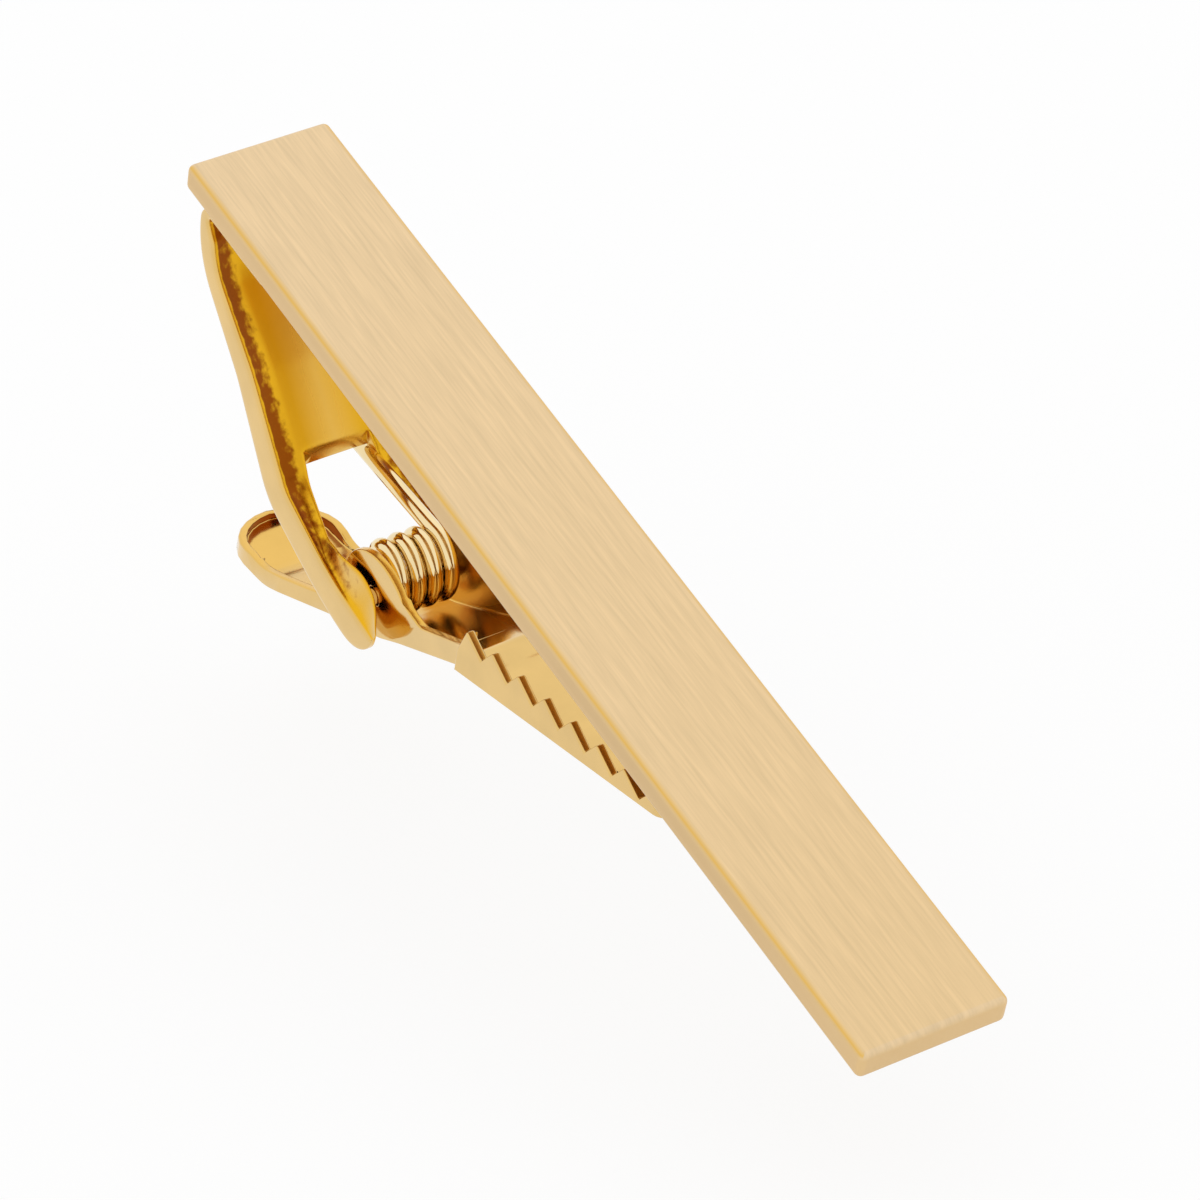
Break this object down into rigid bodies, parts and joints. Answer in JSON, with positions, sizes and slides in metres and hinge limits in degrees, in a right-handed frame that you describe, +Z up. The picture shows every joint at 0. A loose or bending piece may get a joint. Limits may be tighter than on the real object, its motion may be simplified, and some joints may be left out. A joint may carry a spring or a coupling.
{
  "type": "tie clip",
  "caption": "Slim tie clip: a flat brushed bar with a sprung, toothed lever clasp on its rear.",
  "frame": {"origin": "middle of the clip's length and width, on the level surface it stands on", "axes": "+X from the thumb pad to the bar's free end, +Y across the bar, +Z up; the bar's front face looks up and towards +X"},
  "size_m": [0.055, 0.007, 0.021],
  "materials": {
    "satin_gold": "satin, brushed along the bar",
    "polished_gold": "polished gold plating",
    "pin_gold": "polished gold plating",
    "spring_gold": "gold plated spring wire",
    "solder": "plated solder"
  },
  "bodies": {
    "frame": {"bar": "satin_gold", "solder_seam": "solder", "bracket": "polished_gold", "pivot_pin": "pin_gold", "torsion_spring": "spring_gold"},
    "lever": {"jaw_lever": "polished_gold"}
  },
  "joints": [
    {"name": "lever_pivot", "type": "hinge", "parent": "frame", "child": "lever", "pos_m": [-0.01275, 0, 0.00386], "axis": [0, 1, 0], "range_deg": [0, 25], "stiffness_Nm_per_rad": 0.05, "springref_deg": -17.19, "deforming": ["torsion_spring"]}
  ]
}
